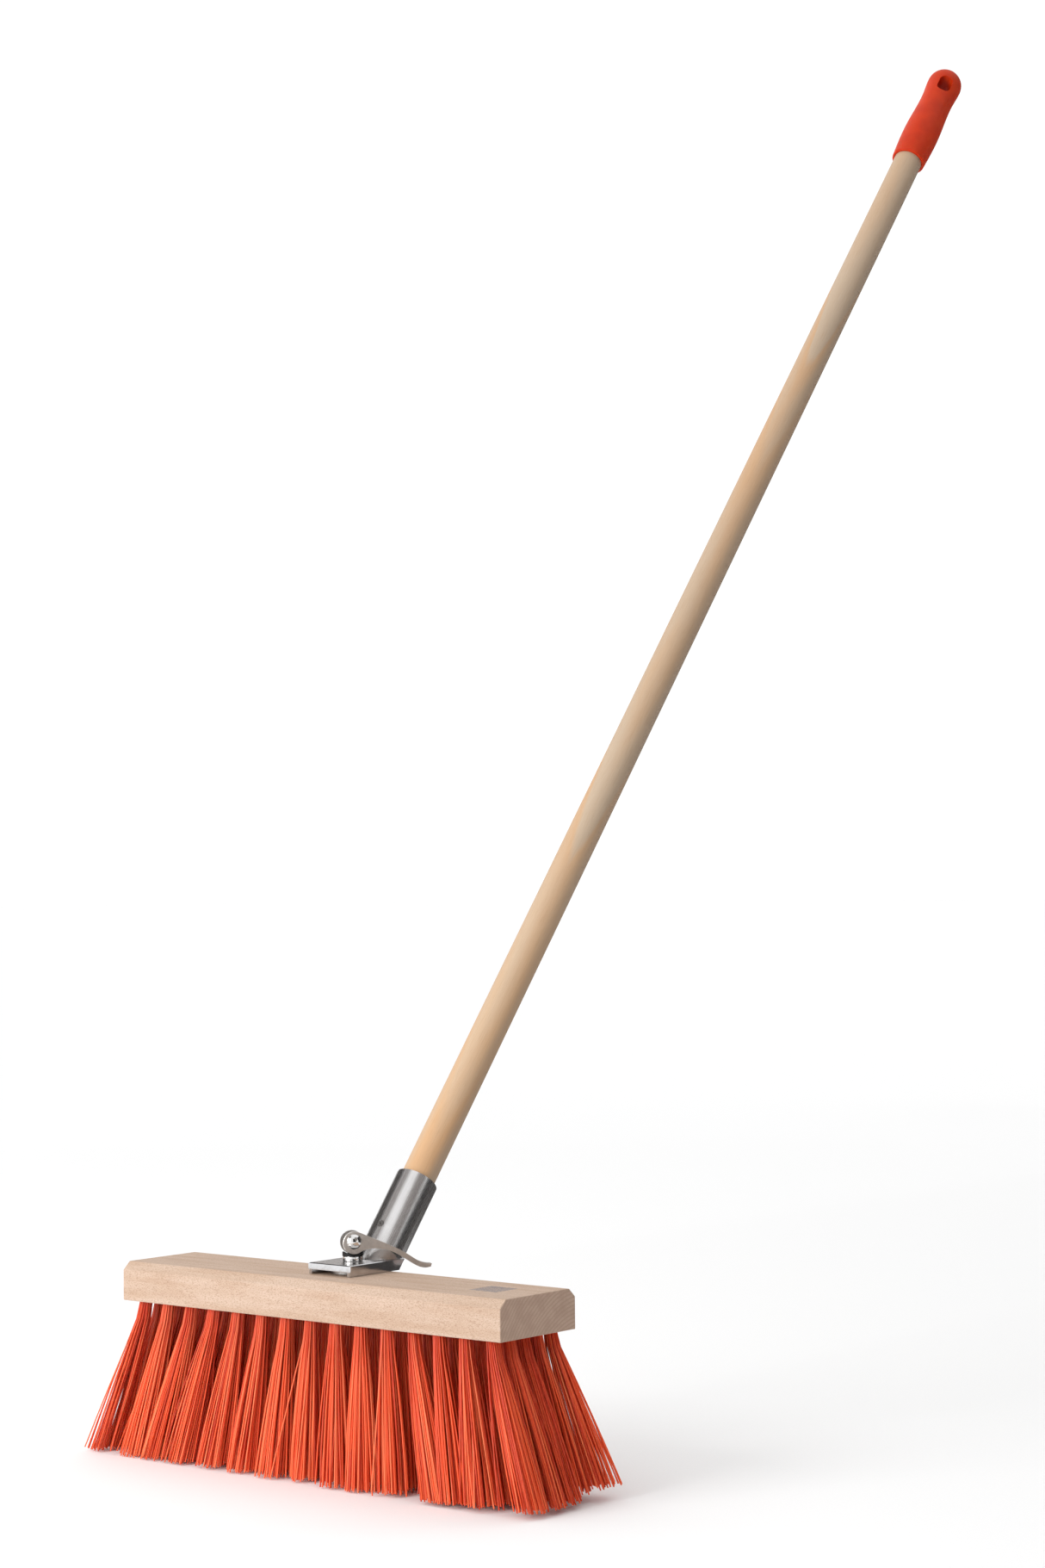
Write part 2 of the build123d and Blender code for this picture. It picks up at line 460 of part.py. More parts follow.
# ---------------------------------------------------------------- lever pin and its cap
PIN_PLANE = Plane(
    origin=(0, SWIVEL_Y, BLOCK_TOP + PIN_HEIGHT), x_dir=(0, 0, 1), z_dir=PIN_DIRECTION)
DOME_RADIUS = (PIN_HEAD_RADIUS ** 2 + PIN_HEAD_HEIGHT ** 2) / (2 * PIN_HEAD_HEIGHT)
with BuildPart() as lever_pin:
    with Locations(PIN_PLANE.offset(CAM_WIDTH / 2 + PIN_FIT + PIN_HEAD_HEIGHT - DOME_RADIUS)):
        Sphere(DOME_RADIUS)
    with Locations(PIN_PLANE.offset(CAM_WIDTH / 2 + PIN_FIT)):
        Cylinder(2 * DOME_RADIUS, 3 * DOME_RADIUS, align=DOWNWARD, mode=Mode.SUBTRACT)
        Cylinder(PIN_RADIUS, CAM_WIDTH + PIN_FIT + CAP_SOCKET, align=DOWNWARD)
finish(lever_pin, "lever_pin")

with BuildPart() as lever_pin_cap:
    with Locations(PIN_PLANE.offset(DOME_RADIUS - CAM_WIDTH / 2 - PIN_FIT - PIN_HEAD_HEIGHT)):
        Sphere(DOME_RADIUS)
    with Locations(PIN_PLANE.offset(-CAM_WIDTH / 2 - PIN_FIT)):
        Cylinder(2 * DOME_RADIUS, 3 * DOME_RADIUS, align=UPWARD, mode=Mode.SUBTRACT)
        Cylinder(PIN_RADIUS + PIN_FIT, CAP_SOCKET, align=DOWNWARD, mode=Mode.SUBTRACT)
finish(lever_pin_cap, "lever_pin_cap")
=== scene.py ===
"""Push broom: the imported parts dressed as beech, pine, plated steel and moulded plastic.

Metres throughout. +Z is up, X runs along the block and the handle leans towards +Y. The tufts'
tips sweep the plane Z = 0.
"""
from __future__ import annotations

import logging
import math
import random
from dataclasses import dataclass, field
from enum import Enum
from typing import Iterable, Sequence

import bmesh
import bpy
from mathutils import Matrix, Vector, noise


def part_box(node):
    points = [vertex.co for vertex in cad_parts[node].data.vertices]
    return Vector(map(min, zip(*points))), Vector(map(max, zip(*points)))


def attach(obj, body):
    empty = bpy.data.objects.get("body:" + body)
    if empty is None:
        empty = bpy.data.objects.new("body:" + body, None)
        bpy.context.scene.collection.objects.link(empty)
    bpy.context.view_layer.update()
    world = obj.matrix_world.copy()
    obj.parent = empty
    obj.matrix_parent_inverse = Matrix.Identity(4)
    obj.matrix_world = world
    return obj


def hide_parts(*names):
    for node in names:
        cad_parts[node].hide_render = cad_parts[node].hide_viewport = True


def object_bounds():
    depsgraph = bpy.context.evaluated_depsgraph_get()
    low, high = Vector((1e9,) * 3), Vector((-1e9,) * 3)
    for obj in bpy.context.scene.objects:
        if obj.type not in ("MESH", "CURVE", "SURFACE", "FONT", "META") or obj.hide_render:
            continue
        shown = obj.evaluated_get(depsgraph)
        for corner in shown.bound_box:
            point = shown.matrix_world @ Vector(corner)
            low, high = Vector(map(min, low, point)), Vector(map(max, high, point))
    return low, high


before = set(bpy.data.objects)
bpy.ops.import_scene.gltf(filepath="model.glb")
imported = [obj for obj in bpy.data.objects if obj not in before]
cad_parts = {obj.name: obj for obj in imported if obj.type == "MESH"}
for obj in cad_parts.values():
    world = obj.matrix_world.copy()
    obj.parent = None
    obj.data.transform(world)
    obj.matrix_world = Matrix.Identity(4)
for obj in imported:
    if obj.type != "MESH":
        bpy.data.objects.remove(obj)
CAD_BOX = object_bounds()

LOG = logging.getLogger("push_broom")
MM = 0.001
STALE_NORMALS = "custom_normal"  # corner normals that a copied CAD mesh brings along
SHARP = math.radians(40)
Colour = tuple[float, float, float]

# Growth layers of the pole: metres from its foot, and how warm the wood is there.
LAYERS = (
    (0.0, 0.50), (0.11, 0.72), (0.15, 0.50), (0.21, 0.62), (0.27, 0.50), (0.40, 0.72),
    (0.425, 0.08), (0.50, 0.18), (0.56, 0.45), (0.70, 0.38), (0.85, 0.78), (0.89, 0.40),
    (0.95, 0.50), (1.0, 0.95), (1.02, 0.10), (1.12, 0.28), (1.40, 0.40),
)


class Body(Enum):
    """The bodies that pieces ride on."""

    HEAD = "head"
    HANDLE = "handle"
    CLAMP = "clamp"
    LEVER = "lever"


class Cloth(Enum):
    """What a cloth does: shades the broom, shows in what its metal mirrors, or both."""

    SHADE = "shade"
    SHINE = "shine"
    BOTH = "both"


class Grain(Enum):
    """The axis that a wood's annual rings are wound round."""

    ALONG_X = "X"
    ALONG_Z = "Z"


# ------------------------------------------------------------------ materials


class Recipe:
    """One material's node tree, filled node by node round a Principled shader."""

    def __init__(self, name: str) -> None:
        """Start an empty tree.

        Args:
            name: the material's name.
        """
        self.material = bpy.data.materials.new(name)
        self.material.use_nodes = True
        self.tree = self.material.node_tree
        self.tree.nodes.clear()
        output = self.tree.nodes.new("ShaderNodeOutputMaterial")
        self.shader = self.tree.nodes.new("ShaderNodeBsdfPrincipled")
        self.tree.links.new(self.shader.outputs[0], output.inputs[0])
        self.place = self.tree.nodes.new("ShaderNodeTexCoord").outputs["Object"]

    def wire(self, node: bpy.types.Node, **inputs: object) -> bpy.types.Node:
        """Set or link a node's inputs.

        Args:
            node: the node.
            inputs: input names, with spaces as underscores, to a value or an output socket.

        Returns:
            The same node.
        """
        for name, value in inputs.items():
            socket = node.inputs[name.replace("_", " ")]
            if isinstance(value, bpy.types.NodeSocket):
                self.tree.links.new(value, socket)
            elif socket.type == "RGBA" and len(value) == 3:
                socket.default_value = (*value, 1.0)
            else:
                socket.default_value = value
        return node

    def stretched(
        self,
        scale: Sequence[float],
        origin: Sequence[float] = (0, 0, 0),
        turn: Sequence[float] = (0, 0, 0),
        source: bpy.types.NodeSocket | None = None,
    ) -> bpy.types.NodeSocket:
        """Place a pattern: its origin and turn are undone, then it is scaled.

        Args:
            scale: factors along the pattern's own axes.
            origin: where the pattern's origin lies on the object.
            turn: the pattern's turn as Euler angles.
            source: coordinates to start from, or the object's.

        Returns:
            The placed coordinates.
        """
        local = self.tree.nodes.new("ShaderNodeMapping")
        local.vector_type = "TEXTURE"
        self.wire(local, Vector=source or self.place, Location=tuple(origin), Rotation=tuple(turn))
        sized = self.tree.nodes.new("ShaderNodeMapping")
        self.wire(sized, Vector=local.outputs[0], Scale=tuple(scale))
        return sized.outputs[0]

    def noise(
        self, vector: bpy.types.NodeSocket, scale: float, detail: float = 3.0, rough: float = 0.55
    ) -> bpy.types.NodeSocket:
        """A fractal noise from 0 to 1.

        Args:
            vector: coordinates.
            scale: cells to the unit of those coordinates.
            detail: octaves.
            rough: weight of the finer octaves.

        Returns:
            The noise value.
        """
        node = self.tree.nodes.new("ShaderNodeTexNoise")
        self.wire(node, Vector=vector, Scale=scale, Detail=detail, Roughness=rough)
        return node.outputs["Fac"]

    def range(
        self, value: bpy.types.NodeSocket, low: float, high: float, to_low: float = 0.0, to_high: float = 1.0
    ) -> bpy.types.NodeSocket:
        """Stretch a span of a value onto another span, clamped and eased.

        Args:
            value: the value.
            low: start of its span.
            high: end of its span.
            to_low: result at the start.
            to_high: result at the end.

        Returns:
            The stretched value.
        """
        node = self.tree.nodes.new("ShaderNodeMapRange")
        node.interpolation_type = "SMOOTHSTEP"
        for socket, number in zip(node.inputs[1:5], (low, high, to_low, to_high)):
            socket.default_value = number
        self.tree.links.new(value, node.inputs[0])
        return node.outputs[0]

    def math(self, kind: str, first: object, second: object) -> bpy.types.NodeSocket:
        """Join two values by a Math node.

        Args:
            kind: the operation.
            first: a value or an output socket.
            second: a value or an output socket.

        Returns:
            The result.
        """
        node = self.tree.nodes.new("ShaderNodeMath")
        node.operation = kind
        for socket, value in zip(node.inputs, (first, second)):
            if isinstance(value, bpy.types.NodeSocket):
                self.tree.links.new(value, socket)
            else:
                socket.default_value = value
        return node.outputs[0]

    def blend(self, factor: object, first: object, second: object, kind: str = "MIX") -> bpy.types.NodeSocket:
        """Mix two colours.

        Args:
            factor: a value or an output socket.
            first: a colour or an output socket.
            second: a colour or an output socket.
            kind: the way they are mixed.

        Returns:
            The mixed colour.
        """
        node = self.tree.nodes.new("ShaderNodeMix")
        node.data_type, node.blend_type = "RGBA", kind
        for index, value in ((0, factor), (6, first), (7, second)):
            if isinstance(value, bpy.types.NodeSocket):
                self.tree.links.new(value, node.inputs[index])
            else:
                node.inputs[index].default_value = value if index == 0 else (*value, 1.0)
        return node.outputs[2]

    def relief(self, height: bpy.types.NodeSocket, depth: float, strength: float = 1.0) -> None:
        """Bump the surface.

        Args:
            height: the pattern, 0 to 1.
            depth: its depth in metres.
            strength: how much of it shows.
        """
        node = self.tree.nodes.new("ShaderNodeBump")
        self.wire(node, Height=height, Distance=depth, Strength=strength)
        self.wire(self.shader, Normal=node.outputs[0])


@dataclass(frozen=True)
class InkPatch:
    """A plain rubber-stamped patch of faded ink, with nothing to read in it."""

    centre: tuple[float, float, float]
    half: tuple[float, float, float]
    ink: Colour = (0.17, 0.17, 0.20)
    strength: float = 0.85

    def over(self, recipe: Recipe, colour: bpy.types.NodeSocket) -> bpy.types.NodeSocket:
        """Stamp the patch over a colour.

        Args:
            recipe: the material's tree.
            colour: the bare colour.

        Returns:
            The stamped colour.
        """
        local = recipe.stretched([1 / half for half in self.half], self.centre)
        size = recipe.tree.nodes.new("ShaderNodeVectorMath")
        size.operation = "ABSOLUTE"
        recipe.wire(size, Vector=local)
        axes = recipe.tree.nodes.new("ShaderNodeSeparateXYZ")
        recipe.wire(axes, Vector=size.outputs[0])
        flat_reach = recipe.math("MAXIMUM", axes.outputs[0], axes.outputs[1])
        reach = recipe.math("MAXIMUM", flat_reach, axes.outputs[2])
        worn = recipe.noise(recipe.place, 900.0, 4.0, 0.7)
        faded = recipe.range(worn, 0.36, 0.6, 0.15, 1.0)
        cover = recipe.math("MULTIPLY", recipe.range(reach, 1.0, 0.93), faded)
        return recipe.blend(recipe.math("MULTIPLY", cover, self.strength), colour, self.ink)


@dataclass(frozen=True)
class Figure:
    """Cathedral figure: growth layers cut by a round pole into nested tongues along it, and painted shade on
    the pole.
    """

    layers: tuple[tuple[float, float], ...]
    facing: float
    length: float = 1.5
    taper: float = 640.0
    waver: float = 50 * MM
    # grey and the fields below it are painted shade on the pole: darker up towards the top, for the light
    # falling off up the pole, and down the side turned away from the key light.
    grey: Colour = (0.33, 0.26, 0.20)
    greyed: float = 0.36
    painted_top_shade: tuple[float, float] = (0.1, 0.75)
    painted_side_shade: float = 0.55
    painted_side_span: tuple[float, float] = (4 * MM, 13 * MM)

    def faced(
        self, recipe: Recipe, local: bpy.types.NodeSocket
    ) -> tuple[bpy.types.NodeSocket, bpy.types.NodeSocket]:
        """Turn the pole's coordinates to face the figure.

        Args:
            recipe: the material's tree.
            local: coordinates with Z along the pole from its foot, in metres.

        Returns:
            The distance across the figure and the distance up the pole.
        """
        axes = recipe.tree.nodes.new("ShaderNodeSeparateXYZ")
        recipe.wire(axes, Vector=recipe.stretched((1, 1, 1), turn=(0, 0, self.facing), source=local))
        return axes.outputs[0], axes.outputs[2]

    def warmth(self, recipe: Recipe, local: bpy.types.NodeSocket) -> bpy.types.NodeSocket:
        """How warm the wood is, 0 to 1.

        Args:
            recipe: the material's tree.
            local: coordinates with Z along the pole from its foot, in metres.

        Returns:
            The warmth.
        """
        across, up = self.faced(recipe, local)
        side = recipe.math("MULTIPLY", recipe.math("POWER", across, 2.0), self.taper)
        sway = recipe.noise(recipe.stretched((70, 70, 5), source=local), 1.0, 3.0, 0.6)
        sway = recipe.math("MULTIPLY", recipe.math("SUBTRACT", sway, 0.5), self.waver)
        depth = recipe.math("ADD", recipe.math("SUBTRACT", up, side), sway)
        ramp = recipe.tree.nodes.new("ShaderNodeValToRGB")
        recipe.wire(ramp, Fac=recipe.math("DIVIDE", depth, self.length))
        stops = ramp.color_ramp.elements
        while len(stops) < len(self.layers):
            stops.new(1.0)
        for stop, (run, warmth) in zip(stops, self.layers):
            stop.position, stop.color = run / self.length, (warmth, warmth, warmth, 1.0)
        return ramp.outputs["Color"]

    def with_painted_shade(
        self, recipe: Recipe, local: bpy.types.NodeSocket, colour: bpy.types.NodeSocket
    ) -> bpy.types.NodeSocket:
        """Paint shade on the wood: darker slowly from its foot to its top, for the light falling off up the
        pole, and darker down the side turned away from the key light.

        Args:
            recipe: the material's tree.
            local: coordinates with Z along the pole from its foot, in metres.
            colour: the wood's colour before the painted shade.

        Returns:
            The colour with the painted shade.
        """
        across, up = self.faced(recipe, local)
        colour = recipe.blend(recipe.range(up, *self.painted_top_shade, 0.0, self.greyed), colour, self.grey)
        return recipe.blend(recipe.range(across, *self.painted_side_span, 0.0, self.painted_side_shade), colour, self.grey)


@dataclass(frozen=True)
class WoodFinish:
    """Bare wood: annual rings round a pith line, fibres, pores, short dark flecks and stains."""

    name: str
    pale: Colour
    warm: Colour
    fleck: Colour
    grain: Grain
    ring_width: float
    pith: tuple[float, float, float]
    turn: tuple[float, float, float] = (0.0, 0.0, 0.0)
    ring_mix: float = 0.45
    ring_waver: float = 2.0
    fleck_size: tuple[float, float] = (2.4 * MM, 0.35 * MM)
    fleck_mix: float = 0.5
    stain_length: float = 90 * MM
    stain_mix: float = 0.5
    roughness: float = 0.6
    relief: float = 0.06 * MM
    ink: InkPatch | None = None
    figure: Figure | None = None
    speckle: float = 0.0

    def material(self) -> bpy.types.Material:
        """Build the wood's material."""
        recipe = Recipe(self.name)
        long_axis = 0 if self.grain is Grain.ALONG_X else 2

        def along(length: float, width: float) -> tuple[float, float, float]:
            """Cell sizes as scale factors, long on the grain's axis."""
            return tuple(1 / length if axis == long_axis else 1 / width for axis in range(3))

        local = recipe.stretched((1, 1, 1), self.pith, self.turn)
        rings = recipe.tree.nodes.new("ShaderNodeTexWave")
        rings.wave_type, rings.rings_direction = "RINGS", self.grain.value
        waver = recipe.stretched(along(6.0, 1.0), source=local)
        recipe.wire(
            rings, Vector=waver, Scale=math.pi / 10 / self.ring_width, Distortion=self.ring_waver,
            Detail=2.0, Detail_Scale=0.35, Detail_Roughness=0.5,
        )
        late_wood = recipe.range(rings.outputs["Fac"], 0.35, 0.98)
        cloud = along(self.stain_length, self.stain_length / 9)
        stain = recipe.noise(recipe.stretched(cloud, source=local), 1.0, 2.0)
        fibre = recipe.noise(recipe.stretched(along(14 * MM, 0.3 * MM), source=local), 1.0, 4.0, 0.65)
        fleck = recipe.noise(recipe.stretched(along(*self.fleck_size), source=local), 1.0, 1.0, 0.4)
        flecks = recipe.range(fleck, 0.6, 0.7)

        if self.figure:
            drift = recipe.range(stain, 0.3, 0.7, -0.2, 0.2)
            warmth = recipe.range(recipe.math("ADD", self.figure.warmth(recipe, local), drift), 0.0, 1.0)
        else:
            warmth = recipe.math("MULTIPLY", recipe.range(stain, 0.38, 0.66), self.stain_mix)
        colour = recipe.blend(warmth, self.pale, self.warm)
        # painted shade on the pole: darker towards its top and down the side turned away from the key light
        if self.figure:
            colour = self.figure.with_painted_shade(recipe, local, colour)
        colour = recipe.blend(recipe.math("MULTIPLY", late_wood, self.ring_mix), colour, self.warm)
        colour = recipe.blend(recipe.range(fibre, 0.3, 0.75, 0.0, 0.22), colour, self.fleck)
        colour = recipe.blend(recipe.math("MULTIPLY", flecks, self.fleck_mix), colour, self.fleck)
        if self.speckle:
            pores = recipe.noise(recipe.stretched(along(1.6 * MM, 0.6 * MM), source=local), 1.0, 2.0, 0.7)
            colour = recipe.blend(recipe.range(pores, 0.47, 0.68, 0.0, self.speckle), colour, self.fleck)
        if self.ink:
            colour = self.ink.over(recipe, colour)
        height = recipe.math("SUBTRACT", fibre, recipe.math("MULTIPLY", flecks, 0.6))
        recipe.relief(height, self.relief)
        worn = recipe.range(fibre, 0.2, 0.8, self.roughness - 0.08, self.roughness + 0.12)
        recipe.wire(recipe.shader, Base_Color=colour, Roughness=worn, Specular_IOR_Level=0.35)
        return recipe.material


@dataclass(frozen=True)
class MetalFinish:
    """Bare or plated steel: drawn or tumbled scratches, faint smears and dulled patches."""

    name: str
    colour: Colour
    dull: Colour
    smooth: float
    rough: float
    scratch: tuple[float, float, float]
    turn: tuple[float, float, float] = (0.0, 0.0, 0.0)
    smear: float = 18 * MM
    relief: float = 0.006 * MM

    def material(self) -> bpy.types.Material:
        """Build the steel's material."""
        recipe = Recipe(self.name)
        local = recipe.stretched((1, 1, 1), (0, 0, 0), self.turn)
        drawn = recipe.stretched([1 / size for size in self.scratch], source=local)
        lines = recipe.noise(drawn, 1.0, 3.0, 0.6)
        smears = recipe.noise(local, 1 / self.smear, 3.0, 0.6)
        colour = recipe.blend(recipe.range(smears, 0.35, 0.75), self.colour, self.dull)
        colour = recipe.blend(recipe.range(lines, 0.45, 0.8, 0.0, 0.35), colour, self.dull)
        worn = recipe.math("ADD", recipe.math("MULTIPLY", lines, 0.6), recipe.math("MULTIPLY", smears, 0.4))
        recipe.relief(lines, self.relief)
        shine = recipe.range(worn, 0.3, 0.7, self.smooth, self.rough)
        recipe.wire(recipe.shader, Base_Color=colour, Metallic=1.0, Roughness=shine)
        return recipe.material


@dataclass(frozen=True)
class PlasticFinish:
    """Moulded plastic: a fine spark-eroded grain, slow shade changes, handling sheen, and painted shade in
    the grooves of its ribs.
    """

    name: str
    colour: Colour
    deep: Colour
    grain: float
    smooth: float
    rough: float
    relief: float = 0.03 * MM
    rib: float = 0.0
    glow: float = 0.0
    rib_turn: tuple[float, float, float] = (0.0, 0.0, 0.0)

    def material(self) -> bpy.types.Material:
        """Build the plastic's material."""
        recipe = Recipe(self.name)
        fine = recipe.noise(recipe.place, 1 / self.grain, 3.0, 0.6)
        slow = recipe.noise(recipe.place, 60.0, 2.0)
        colour = recipe.blend(recipe.range(slow, 0.3, 0.7, 0.0, 0.6), self.colour, self.deep)
        colour = recipe.blend(recipe.range(fine, 0.45, 0.85, 0.0, 0.3), colour, self.deep)
        height = fine
        if self.rib:
            bands = recipe.tree.nodes.new("ShaderNodeTexWave")
            bands.bands_direction = "Z"
            recipe.wire(
                bands, Vector=recipe.stretched((1, 1, 1), turn=self.rib_turn), Scale=math.pi / 10 / self.rib,
                Distortion=0.3,
            )
            height = recipe.math("ADD", recipe.math("MULTIPLY", fine, 0.5), bands.outputs["Fac"])
            # painted shade: the grooves between the ribs are darkened
            colour = recipe.blend(recipe.range(bands.outputs["Fac"], 0.0, 1.0, 0.14, 0.0), colour, self.deep)
        recipe.relief(height, self.relief)
        shine = recipe.range(fine, 0.25, 0.75, self.smooth, self.rough)
        recipe.wire(
            recipe.shader, Base_Color=colour, Roughness=shine, Specular_IOR_Level=0.2,
            Subsurface_Weight=self.glow, Subsurface_Radius=(1.0, 0.15, 0.05), Subsurface_Scale=3 * MM,
        )
        return recipe.material


@dataclass(frozen=True)
class FilamentFinish:
    """Extruded filament: every strand its own tone, darker towards its root and on the right-hand tufts as
    painted shade, glossy along its side.
    """

    name: str
    colour: Colour
    light: Colour
    deep: Colour

    def material(self) -> bpy.types.Material:
        """Build the filament's material from the strands' own shade and run attributes."""
        recipe = Recipe(self.name)

        def attribute(name: str) -> bpy.types.NodeSocket:
            """Read one of the strands' values."""
            node = recipe.tree.nodes.new("ShaderNodeAttribute")
            node.attribute_name = name
            return node.outputs["Fac"]

        shade, run = attribute(Strands.SHADE), attribute(Strands.RUN)
        draw = recipe.noise(recipe.stretched((900, 900, 60)), 1.0, 2.0)
        colour = recipe.blend(recipe.range(shade, 0.45, 1.0), self.colour, self.light)
        colour = recipe.blend(recipe.range(shade, 0.55, 0.0, 0.0, 0.75), colour, self.deep)
        # painted shade: strands darker towards their roots, inside the bundle and under the block
        colour = recipe.blend(recipe.range(run, 0.45, 0.0, 0.0, 0.5), colour, self.deep)
        colour = recipe.blend(recipe.range(draw, 0.4, 0.8, 0.0, 0.25), colour, self.light)
        recipe.relief(draw, 0.02 * MM)
        recipe.wire(
            recipe.shader, Base_Color=colour, Roughness=recipe.range(draw, 0.3, 0.7, 0.34, 0.5),
            Specular_IOR_Level=0.45, Subsurface_Weight=0.25, Subsurface_Radius=(1.0, 0.25, 0.1),
            Subsurface_Scale=1.2 * MM,
        )
        return recipe.material


# ------------------------------------------------------------------ making pieces


def as_piece(
    bm: bmesh.types.BMesh,
    name: str,
    body: Body,
    finishes: Sequence[bpy.types.Material],
    stands_for: Sequence[str] = (),
    crease: float = math.radians(35),
) -> bpy.types.Object:
    """Turn a finished bmesh into a piece that rides on its body.

    Args:
        bm: the shape, in place. It is freed.
        name: the piece's name.
        body: the body it rides on.
        finishes: its materials, in the order of its faces' indices.
        stands_for: CAD nodes that it replaces.
        crease: edges sharper than this stay sharp.

    Returns:
        The new object.
    """
    for face in bm.faces:
        face.smooth = True
    for edge in bm.edges:
        edge.smooth = edge.smooth and edge.calc_face_angle(0.0) <= crease
    mesh = bpy.data.meshes.new(name)
    bm.to_mesh(mesh)
    bm.free()
    if STALE_NORMALS in mesh.attributes:
        mesh.attributes.remove(mesh.attributes[STALE_NORMALS])
    for finish in finishes:
        mesh.materials.append(finish)
    piece = bpy.data.objects.new(name, mesh)
    bpy.context.scene.collection.objects.link(piece)
    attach(piece, body.value)
    if stands_for:
        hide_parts(*stands_for)
    LOG.info("%s: %d faces on %s", name, len(mesh.polygons), body.value)
    return piece


def merged_copy(node: str) -> bmesh.types.BMesh:
    """Copy a CAD node's triangles as one joined surface with flat faces whole.

    Args:
        node: the CAD node.

    Returns:
        A new bmesh.
    """
    bm = bmesh.new()
    bm.from_mesh(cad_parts[node].data)
    bmesh.ops.remove_doubles(bm, verts=bm.verts, dist=0.002 * MM)
    bmesh.ops.dissolve_limit(
        bm, angle_limit=math.radians(0.4), verts=bm.verts, edges=bm.edges, delimit={"NORMAL"}
    )
    for edge in bm.edges:
        edge.smooth = True
    return bm


def sharp_edges(bm: bmesh.types.BMesh, angle: float) -> list[bmesh.types.BMEdge]:
    """List the edges whose faces meet at more than an angle, bulging or hollow."""
    return [edge for edge in bm.edges if edge.is_manifold and edge.calc_face_angle(0.0) > angle]


def ease(
    bm: bmesh.types.BMesh, edges: Iterable[bmesh.types.BMEdge], radius: float, segments: int = 2
) -> None:
    """Round edges over, the flats beside them kept flat.

    Args:
        bm: the shape.
        edges: the edges to round.
        radius: offset of the rounding from the edge.
        segments: faces across the rounding.
    """
    rounded = bmesh.ops.bevel(
        bm, geom=list(edges), offset=radius, offset_type="OFFSET", segments=segments, profile=0.5,
        affect="EDGES", clamp_overlap=True, material=-1,
    )
    fresh = set(rounded["faces"])
    for edge in {edge for face in fresh for edge in face.edges}:
        edge.smooth = all(face in fresh for face in edge.link_faces)


def dress(node: str, finish: bpy.types.Material) -> None:
    """Give a CAD node that stays as it is a finish."""
    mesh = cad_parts[node].data
    mesh.materials.clear()
    mesh.materials.append(finish)
    LOG.info("%s: %s", node, finish.name)


# ------------------------------------------------------------------ brush head


@dataclass
class Block:
    """The beech block, its edges broken by hand."""

    edge: float = 0.7 * MM
    shortest: float = 5 * MM
    outside: float = 7.5 * MM
    finish: WoodFinish = WoodFinish(
        name="beech_face", pale=(0.62, 0.468, 0.365), warm=(0.52, 0.36, 0.255), fleck=(0.33, 0.195, 0.12),
        grain=Grain.ALONG_X, ring_width=6 * MM, pith=(0.0, 0.05, 0.075), turn=(0.0, 0.012, 0.02),
        ring_mix=0.25,
        ring_waver=3.5, fleck_size=(1.9 * MM, 0.35 * MM), fleck_mix=0.45, stain_mix=0.7, speckle=0.62,
        ink=InkPatch((155.5 * MM, 1.5 * MM, 155 * MM), (14 * MM, 13.5 * MM, 3 * MM)),
    )
    end_finish: WoodFinish = WoodFinish(
        name="beech_end_grain", pale=(0.54, 0.385, 0.295), warm=(0.42, 0.285, 0.215),
        fleck=(0.26, 0.155, 0.10), grain=Grain.ALONG_X, ring_width=3 * MM, pith=(0.0, 0.05, 0.075),
        turn=(0.0, 0.012, 0.02), ring_mix=0.65,
        ring_waver=3.0, fleck_size=(0.5 * MM, 0.4 * MM), fleck_mix=0.35, roughness=0.75, relief=0.1 * MM,
    )

    def build(self) -> None:
        """Make the block."""
        bm = merged_copy("brush_block")
        low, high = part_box("brush_block")
        outer = [
            edge for edge in sharp_edges(bm, math.radians(30))
            if all(self.is_outer(vert.co, low, high) for vert in edge.verts)
            and edge.calc_length() > self.shortest
        ]
        ease(bm, outer, self.edge, 3)
        for face in bm.faces:
            at_end = abs(face.calc_center_median().x) > high.x - 1 * MM
            face.material_index = int(abs(face.normal.x) > 0.9 and at_end)
        finishes = (self.finish.material(), self.end_finish.material())
        as_piece(bm, "block", Body.HEAD, finishes, ("brush_block",))

    def is_outer(self, point: Vector, low: Vector, high: Vector) -> bool:
        """Tell whether a point is on the block's outside rather than in a hole.

        Args:
            point: the point.
            low: the block's low corner.
            high: the block's high corner.

        Returns:
            True on the outside.
        """
        return min(point.x - low.x, high.x - point.x, point.y - low.y, high.y - point.y) < self.outside


